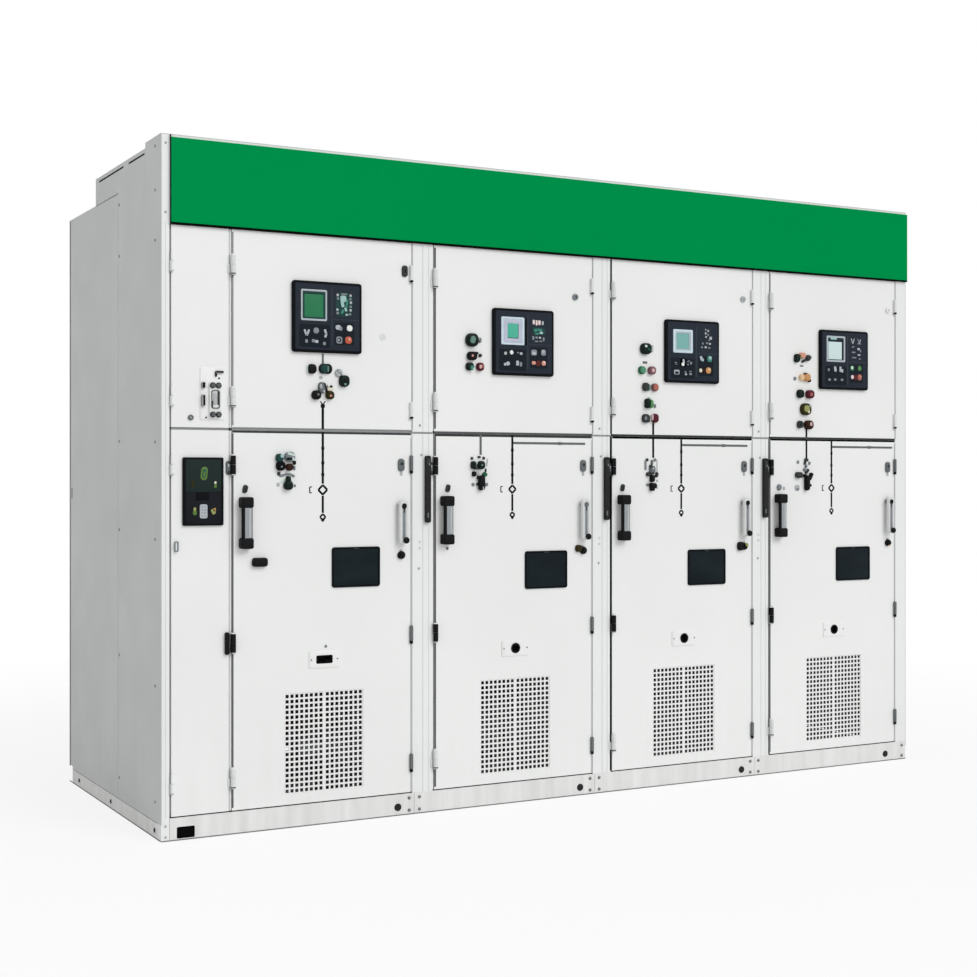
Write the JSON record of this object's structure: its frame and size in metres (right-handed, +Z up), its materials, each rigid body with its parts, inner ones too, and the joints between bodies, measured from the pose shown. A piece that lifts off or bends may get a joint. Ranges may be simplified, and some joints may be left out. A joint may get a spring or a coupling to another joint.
{
  "type": "medium-voltage switchgear lineup",
  "caption": "Free-standing metal-clad switchgear lineup with hinged instrument and breaker doors, sliding breaker trucks, safety shutters and a narrow wiring compartment.",
  "frame": {"origin": "centre of the floor anchor pattern, on the floor", "axes": "+X along the lineup to the viewer's right, +Y from the door faces to the rear, +Z up"},
  "size_m": [3.218, 1.2343, 2.3],
  "materials": {
    "base_paint": "satin powder coat",
    "side_paint": "satin powder coat",
    "door_paint": "satin powder coat",
    "green_fascia": "gloss paint",
    "zinc_steel": "zinc plated",
    "copper": "bare bar copper",
    "cast_resin": "cast resin",
    "breaker_case": "moulded and painted case",
    "black_plastic": "matt",
    "relay_plastic": "matt",
    "lamp_plastic": "glossy lens",
    "window_pane": "smoked pane",
    "dark_steel": "black oxide"
  },
  "bodies": {
    "frame": {"base_frame": "base_paint", "end_walls": "side_paint", "inner_walls": "zinc_steel", "frame_posts": "door_paint", "header_panel": "green_fascia", "roof_covers": "side_paint", "rear_covers": "side_paint", "busbars": "copper", "feeder_bars": "copper", "insulators": "cast_resin", "current_transformers": "cast_resin", "earth_bar": "copper", "truck_rails": "zinc_steel", "hinge_pins": "zinc_steel", "pillar_strips": "black_plastic", "terminal_rows": "black_plastic", "panel_bolts": "dark_steel"},
    "end_door_upper": {"end_door_upper": "door_paint"},
    "end_door_lower": {"end_door_lower": "door_paint", "end_controls": "black_plastic"},
    "upper_door_1": {"upper_door_1": "door_paint", "relay_1": "relay_plastic", "upper_controls_1": "lamp_plastic"},
    "lower_door_1": {"lower_door_1": "door_paint", "lower_controls_1": "black_plastic", "window_1": "window_pane", "vent_1": "door_paint"},
    "lever_1": {"lever_1": "zinc_steel"},
    "truck_1": {"truck_1": "breaker_case"},
    "shutter_1": {"shutter_1": "zinc_steel"},
    "upper_door_2": {"upper_door_2": "door_paint", "relay_2": "relay_plastic", "upper_controls_2": "lamp_plastic"},
    "lower_door_2": {"lower_door_2": "door_paint", "lower_controls_2": "black_plastic", "window_2": "window_pane", "vent_2": "door_paint"},
    "lever_2": {"lever_2": "zinc_steel"},
    "truck_2": {"truck_2": "breaker_case"},
    "shutter_2": {"shutter_2": "zinc_steel"},
    "upper_door_3": {"upper_door_3": "door_paint", "relay_3": "relay_plastic", "upper_controls_3": "lamp_plastic"},
    "lower_door_3": {"lower_door_3": "door_paint", "lower_controls_3": "black_plastic", "window_3": "window_pane", "vent_3": "door_paint"},
    "lever_3": {"lever_3": "zinc_steel"},
    "truck_3": {"truck_3": "breaker_case"},
    "shutter_3": {"shutter_3": "zinc_steel"},
    "upper_door_4": {"upper_door_4": "door_paint", "relay_4": "relay_plastic", "upper_controls_4": "lamp_plastic"},
    "lower_door_4": {"lower_door_4": "door_paint", "lower_controls_4": "black_plastic", "window_4": "window_pane", "vent_4": "door_paint"},
    "lever_4": {"lever_4": "zinc_steel"},
    "truck_4": {"truck_4": "breaker_case"},
    "shutter_4": {"shutter_4": "zinc_steel"}
  },
  "joints": [
    {"name": "end_door_upper_swing", "type": "hinge", "parent": "frame", "child": "end_door_upper", "pos_m": [-1.57, -0.606, 1.67], "axis": [0, 0, -1], "range_deg": [0, 110]},
    {"name": "end_door_lower_swing", "type": "hinge", "parent": "frame", "child": "end_door_lower", "pos_m": [-1.57, -0.606, 0.708], "axis": [0, 0, -1], "range_deg": [0, 110]},
    {"name": "upper_door_1_swing", "type": "hinge", "parent": "frame", "child": "upper_door_1", "pos_m": [-1.364, -0.609, 1.67], "axis": [0, 0, -1], "range_deg": [0, 110]},
    {"name": "lower_door_1_swing", "type": "hinge", "parent": "frame", "child": "lower_door_1", "pos_m": [-1.364, -0.609, 0.708], "axis": [0, 0, -1], "range_deg": [0, 110]},
    {"name": "lever_1_swing", "type": "hinge", "parent": "lower_door_1", "child": "lever_1", "pos_m": [-0.744, -0.618, 1.084], "axis": [0, 1, 0], "range_deg": [0, 90]},
    {"name": "truck_1_racking", "type": "slide", "parent": "frame", "child": "truck_1", "axis": [0, -1, 0], "range_m": [0, 0.2]},
    {"name": "shutter_1_drop", "type": "slide", "parent": "frame", "child": "shutter_1", "axis": [0, 0, -1], "range_m": [0, 0.1]},
    {"name": "upper_door_2_swing", "type": "hinge", "parent": "frame", "child": "upper_door_2", "pos_m": [-0.614, -0.609, 1.67], "axis": [0, 0, -1], "range_deg": [0, 110]},
    {"name": "lower_door_2_swing", "type": "hinge", "parent": "frame", "child": "lower_door_2", "pos_m": [-0.614, -0.609, 0.708], "axis": [0, 0, -1], "range_deg": [0, 110]},
    {"name": "lever_2_swing", "type": "hinge", "parent": "lower_door_2", "child": "lever_2", "pos_m": [0.006, -0.618, 1.084], "axis": [0, 1, 0], "range_deg": [0, 90]},
    {"name": "truck_2_racking", "type": "slide", "parent": "frame", "child": "truck_2", "axis": [0, -1, 0], "range_m": [0, 0.2]},
    {"name": "shutter_2_drop", "type": "slide", "parent": "frame", "child": "shutter_2", "axis": [0, 0, -1], "range_m": [0, 0.1]},
    {"name": "upper_door_3_swing", "type": "hinge", "parent": "frame", "child": "upper_door_3", "pos_m": [0.136, -0.609, 1.67], "axis": [0, 0, -1], "range_deg": [0, 110]},
    {"name": "lower_door_3_swing", "type": "hinge", "parent": "frame", "child": "lower_door_3", "pos_m": [0.136, -0.609, 0.708], "axis": [0, 0, -1], "range_deg": [0, 110]},
    {"name": "lever_3_swing", "type": "hinge", "parent": "lower_door_3", "child": "lever_3", "pos_m": [0.756, -0.618, 1.084], "axis": [0, 1, 0], "range_deg": [0, 90]},
    {"name": "truck_3_racking", "type": "slide", "parent": "frame", "child": "truck_3", "axis": [0, -1, 0], "range_m": [0, 0.2]},
    {"name": "shutter_3_drop", "type": "slide", "parent": "frame", "child": "shutter_3", "axis": [0, 0, -1], "range_m": [0, 0.1]},
    {"name": "upper_door_4_swing", "type": "hinge", "parent": "frame", "child": "upper_door_4", "pos_m": [0.886, -0.609, 1.67], "axis": [0, 0, -1], "range_deg": [0, 110]},
    {"name": "lower_door_4_swing", "type": "hinge", "parent": "frame", "child": "lower_door_4", "pos_m": [0.886, -0.609, 0.708], "axis": [0, 0, -1], "range_deg": [0, 110]},
    {"name": "lever_4_swing", "type": "hinge", "parent": "lower_door_4", "child": "lever_4", "pos_m": [1.506, -0.618, 1.084], "axis": [0, 1, 0], "range_deg": [0, 90]},
    {"name": "truck_4_racking", "type": "slide", "parent": "frame", "child": "truck_4", "axis": [0, -1, 0], "range_m": [0, 0.2]},
    {"name": "shutter_4_drop", "type": "slide", "parent": "frame", "child": "shutter_4", "axis": [0, 0, -1], "range_m": [0, 0.1]}
  ],
  "couplings": [
    {"joint": "shutter_1_drop", "follows": "truck_1_racking", "ratio": 0.5},
    {"joint": "shutter_2_drop", "follows": "truck_2_racking", "ratio": 0.5},
    {"joint": "shutter_3_drop", "follows": "truck_3_racking", "ratio": 0.5},
    {"joint": "shutter_4_drop", "follows": "truck_4_racking", "ratio": 0.5}
  ]
}
